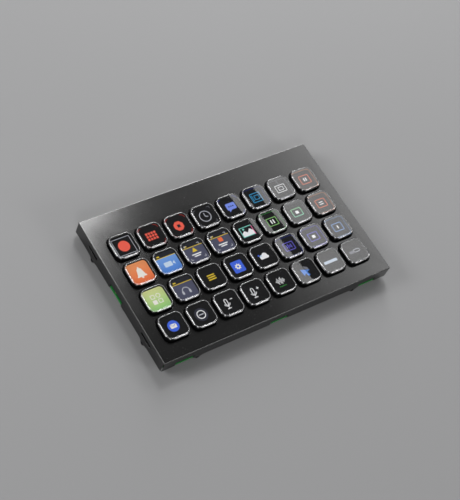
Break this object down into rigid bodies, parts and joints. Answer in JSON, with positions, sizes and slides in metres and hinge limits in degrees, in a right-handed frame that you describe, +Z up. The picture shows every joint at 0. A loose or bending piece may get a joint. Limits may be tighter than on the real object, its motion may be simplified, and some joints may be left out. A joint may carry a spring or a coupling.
{
  "type": "display macro keypad",
  "caption": "Flat desk keypad with a grid of clear spring-back display keys under a folded black steel cover, on a shallow rear tray with threaded mounts.",
  "frame": {"origin": "middle of the footprint, on the underside of the rear tray", "axes": "+Z up out of the key face, +X to the right along the long edge, +Y away from the user"},
  "size_m": [0.1746, 0.1054, 0.016],
  "materials": {
    "cover_steel": "fine satin black powder coat on folded steel",
    "clear_key": "polished clear acrylic",
    "key_picture": "lit picture under the clear key",
    "guide_plastic": "moulded black plastic",
    "key_silicone": "translucent white silicone",
    "contact_board": "thin board with solder mask",
    "black_tape": "black adhesive foam",
    "display_glass": "polished dark display glass",
    "chip_black": "moulded black resin",
    "light_spreader": "clear acrylic sheet",
    "thin_steel": "bright formed steel",
    "flex_film": "amber polyimide film",
    "connector_plastic": "moulded black plastic",
    "green_board": "glass-fibre board with green solder mask",
    "coil_grey": "pressed ferrite",
    "capacitor_tan": "ceramic with tinned ends",
    "socket_steel": "drawn nickel-plated steel",
    "screw_black": "blackened steel",
    "tray_plastic": "moulded black plastic with a fine texture",
    "insert_brass": "turned brass"
  },
  "bodies": {
    "case": {"faceplate": "cover_steel", "guide_frame": "guide_plastic", "key_mat": "key_silicone", "switch_board": "contact_board", "display_tape": "black_tape", "display_glass": "display_glass", "display_driver": "chip_black", "light_guide": "light_spreader", "backlight_tray": "thin_steel", "display_flex": "flex_film", "display_connector": "connector_plastic", "switch_flex": "flex_film", "switch_connector": "connector_plastic", "main_board": "green_board", "processor": "chip_black", "memory_chip": "chip_black", "driver_chips": "chip_black", "crystal": "thin_steel", "power_inductors": "coil_grey", "capacitors": "capacitor_tan", "usb_socket": "socket_steel", "usb_tongue": "connector_plastic", "spacers": "thin_steel", "board_screws": "screw_black", "rear_cover": "tray_plastic", "mounting_inserts": "insert_brass", "ear_screws": "screw_black"},
    "key_r1c1": {"key_r1c1": "clear_key"},
    "key_r1c2": {"key_r1c2": "clear_key"},
    "key_r1c3": {"key_r1c3": "clear_key"},
    "key_r1c4": {"key_r1c4": "clear_key"},
    "key_r1c5": {"key_r1c5": "clear_key"},
    "key_r1c6": {"key_r1c6": "clear_key"},
    "key_r1c7": {"key_r1c7": "clear_key"},
    "key_r1c8": {"key_r1c8": "clear_key"},
    "key_r2c1": {"key_r2c1": "clear_key"},
    "key_r2c2": {"key_r2c2": "clear_key"},
    "key_r2c3": {"key_r2c3": "clear_key"},
    "key_r2c4": {"key_r2c4": "clear_key"},
    "key_r2c5": {"key_r2c5": "clear_key"},
    "key_r2c6": {"key_r2c6": "clear_key"},
    "key_r2c7": {"key_r2c7": "clear_key"},
    "key_r2c8": {"key_r2c8": "clear_key"},
    "key_r3c1": {"key_r3c1": "clear_key"},
    "key_r3c2": {"key_r3c2": "clear_key"},
    "key_r3c3": {"key_r3c3": "clear_key"},
    "key_r3c4": {"key_r3c4": "clear_key"},
    "key_r3c5": {"key_r3c5": "clear_key"},
    "key_r3c6": {"key_r3c6": "clear_key"},
    "key_r3c7": {"key_r3c7": "clear_key"},
    "key_r3c8": {"key_r3c8": "clear_key"},
    "key_r4c1": {"key_r4c1": "clear_key"},
    "key_r4c2": {"key_r4c2": "clear_key"},
    "key_r4c3": {"key_r4c3": "clear_key"},
    "key_r4c4": {"key_r4c4": "clear_key"},
    "key_r4c5": {"key_r4c5": "clear_key"},
    "key_r4c6": {"key_r4c6": "clear_key"},
    "key_r4c7": {"key_r4c7": "clear_key"},
    "key_r4c8": {"key_r4c8": "clear_key"}
  },
  "joints": [
    {"name": "press_r1c1", "type": "slide", "parent": "case", "child": "key_r1c1", "axis": [0, 0, -1], "range_m": [0, 0.0012], "stiffness_N_per_m": 500, "springref_m": -0.0004, "deforming": ["key_mat"]},
    {"name": "press_r1c2", "type": "slide", "parent": "case", "child": "key_r1c2", "axis": [0, 0, -1], "range_m": [0, 0.0012], "stiffness_N_per_m": 500, "springref_m": -0.0004, "deforming": ["key_mat"]},
    {"name": "press_r1c3", "type": "slide", "parent": "case", "child": "key_r1c3", "axis": [0, 0, -1], "range_m": [0, 0.0012], "stiffness_N_per_m": 500, "springref_m": -0.0004, "deforming": ["key_mat"]},
    {"name": "press_r1c4", "type": "slide", "parent": "case", "child": "key_r1c4", "axis": [0, 0, -1], "range_m": [0, 0.0012], "stiffness_N_per_m": 500, "springref_m": -0.0004, "deforming": ["key_mat"]},
    {"name": "press_r1c5", "type": "slide", "parent": "case", "child": "key_r1c5", "axis": [0, 0, -1], "range_m": [0, 0.0012], "stiffness_N_per_m": 500, "springref_m": -0.0004, "deforming": ["key_mat"]},
    {"name": "press_r1c6", "type": "slide", "parent": "case", "child": "key_r1c6", "axis": [0, 0, -1], "range_m": [0, 0.0012], "stiffness_N_per_m": 500, "springref_m": -0.0004, "deforming": ["key_mat"]},
    {"name": "press_r1c7", "type": "slide", "parent": "case", "child": "key_r1c7", "axis": [0, 0, -1], "range_m": [0, 0.0012], "stiffness_N_per_m": 500, "springref_m": -0.0004, "deforming": ["key_mat"]},
    {"name": "press_r1c8", "type": "slide", "parent": "case", "child": "key_r1c8", "axis": [0, 0, -1], "range_m": [0, 0.0012], "stiffness_N_per_m": 500, "springref_m": -0.0004, "deforming": ["key_mat"]},
    {"name": "press_r2c1", "type": "slide", "parent": "case", "child": "key_r2c1", "axis": [0, 0, -1], "range_m": [0, 0.0012], "stiffness_N_per_m": 500, "springref_m": -0.0004, "deforming": ["key_mat"]},
    {"name": "press_r2c2", "type": "slide", "parent": "case", "child": "key_r2c2", "axis": [0, 0, -1], "range_m": [0, 0.0012], "stiffness_N_per_m": 500, "springref_m": -0.0004, "deforming": ["key_mat"]},
    {"name": "press_r2c3", "type": "slide", "parent": "case", "child": "key_r2c3", "axis": [0, 0, -1], "range_m": [0, 0.0012], "stiffness_N_per_m": 500, "springref_m": -0.0004, "deforming": ["key_mat"]},
    {"name": "press_r2c4", "type": "slide", "parent": "case", "child": "key_r2c4", "axis": [0, 0, -1], "range_m": [0, 0.0012], "stiffness_N_per_m": 500, "springref_m": -0.0004, "deforming": ["key_mat"]},
    {"name": "press_r2c5", "type": "slide", "parent": "case", "child": "key_r2c5", "axis": [0, 0, -1], "range_m": [0, 0.0012], "stiffness_N_per_m": 500, "springref_m": -0.0004, "deforming": ["key_mat"]},
    {"name": "press_r2c6", "type": "slide", "parent": "case", "child": "key_r2c6", "axis": [0, 0, -1], "range_m": [0, 0.0012], "stiffness_N_per_m": 500, "springref_m": -0.0004, "deforming": ["key_mat"]},
    {"name": "press_r2c7", "type": "slide", "parent": "case", "child": "key_r2c7", "axis": [0, 0, -1], "range_m": [0, 0.0012], "stiffness_N_per_m": 500, "springref_m": -0.0004, "deforming": ["key_mat"]},
    {"name": "press_r2c8", "type": "slide", "parent": "case", "child": "key_r2c8", "axis": [0, 0, -1], "range_m": [0, 0.0012], "stiffness_N_per_m": 500, "springref_m": -0.0004, "deforming": ["key_mat"]},
    {"name": "press_r3c1", "type": "slide", "parent": "case", "child": "key_r3c1", "axis": [0, 0, -1], "range_m": [0, 0.0012], "stiffness_N_per_m": 500, "springref_m": -0.0004, "deforming": ["key_mat"]},
    {"name": "press_r3c2", "type": "slide", "parent": "case", "child": "key_r3c2", "axis": [0, 0, -1], "range_m": [0, 0.0012], "stiffness_N_per_m": 500, "springref_m": -0.0004, "deforming": ["key_mat"]},
    {"name": "press_r3c3", "type": "slide", "parent": "case", "child": "key_r3c3", "axis": [0, 0, -1], "range_m": [0, 0.0012], "stiffness_N_per_m": 500, "springref_m": -0.0004, "deforming": ["key_mat"]},
    {"name": "press_r3c4", "type": "slide", "parent": "case", "child": "key_r3c4", "axis": [0, 0, -1], "range_m": [0, 0.0012], "stiffness_N_per_m": 500, "springref_m": -0.0004, "deforming": ["key_mat"]},
    {"name": "press_r3c5", "type": "slide", "parent": "case", "child": "key_r3c5", "axis": [0, 0, -1], "range_m": [0, 0.0012], "stiffness_N_per_m": 500, "springref_m": -0.0004, "deforming": ["key_mat"]},
    {"name": "press_r3c6", "type": "slide", "parent": "case", "child": "key_r3c6", "axis": [0, 0, -1], "range_m": [0, 0.0012], "stiffness_N_per_m": 500, "springref_m": -0.0004, "deforming": ["key_mat"]},
    {"name": "press_r3c7", "type": "slide", "parent": "case", "child": "key_r3c7", "axis": [0, 0, -1], "range_m": [0, 0.0012], "stiffness_N_per_m": 500, "springref_m": -0.0004, "deforming": ["key_mat"]},
    {"name": "press_r3c8", "type": "slide", "parent": "case", "child": "key_r3c8", "axis": [0, 0, -1], "range_m": [0, 0.0012], "stiffness_N_per_m": 500, "springref_m": -0.0004, "deforming": ["key_mat"]},
    {"name": "press_r4c1", "type": "slide", "parent": "case", "child": "key_r4c1", "axis": [0, 0, -1], "range_m": [0, 0.0012], "stiffness_N_per_m": 500, "springref_m": -0.0004, "deforming": ["key_mat"]},
    {"name": "press_r4c2", "type": "slide", "parent": "case", "child": "key_r4c2", "axis": [0, 0, -1], "range_m": [0, 0.0012], "stiffness_N_per_m": 500, "springref_m": -0.0004, "deforming": ["key_mat"]},
    {"name": "press_r4c3", "type": "slide", "parent": "case", "child": "key_r4c3", "axis": [0, 0, -1], "range_m": [0, 0.0012], "stiffness_N_per_m": 500, "springref_m": -0.0004, "deforming": ["key_mat"]},
    {"name": "press_r4c4", "type": "slide", "parent": "case", "child": "key_r4c4", "axis": [0, 0, -1], "range_m": [0, 0.0012], "stiffness_N_per_m": 500, "springref_m": -0.0004, "deforming": ["key_mat"]},
    {"name": "press_r4c5", "type": "slide", "parent": "case", "child": "key_r4c5", "axis": [0, 0, -1], "range_m": [0, 0.0012], "stiffness_N_per_m": 500, "springref_m": -0.0004, "deforming": ["key_mat"]},
    {"name": "press_r4c6", "type": "slide", "parent": "case", "child": "key_r4c6", "axis": [0, 0, -1], "range_m": [0, 0.0012], "stiffness_N_per_m": 500, "springref_m": -0.0004, "deforming": ["key_mat"]},
    {"name": "press_r4c7", "type": "slide", "parent": "case", "child": "key_r4c7", "axis": [0, 0, -1], "range_m": [0, 0.0012], "stiffness_N_per_m": 500, "springref_m": -0.0004, "deforming": ["key_mat"]},
    {"name": "press_r4c8", "type": "slide", "parent": "case", "child": "key_r4c8", "axis": [0, 0, -1], "range_m": [0, 0.0012], "stiffness_N_per_m": 500, "springref_m": -0.0004, "deforming": ["key_mat"]}
  ]
}
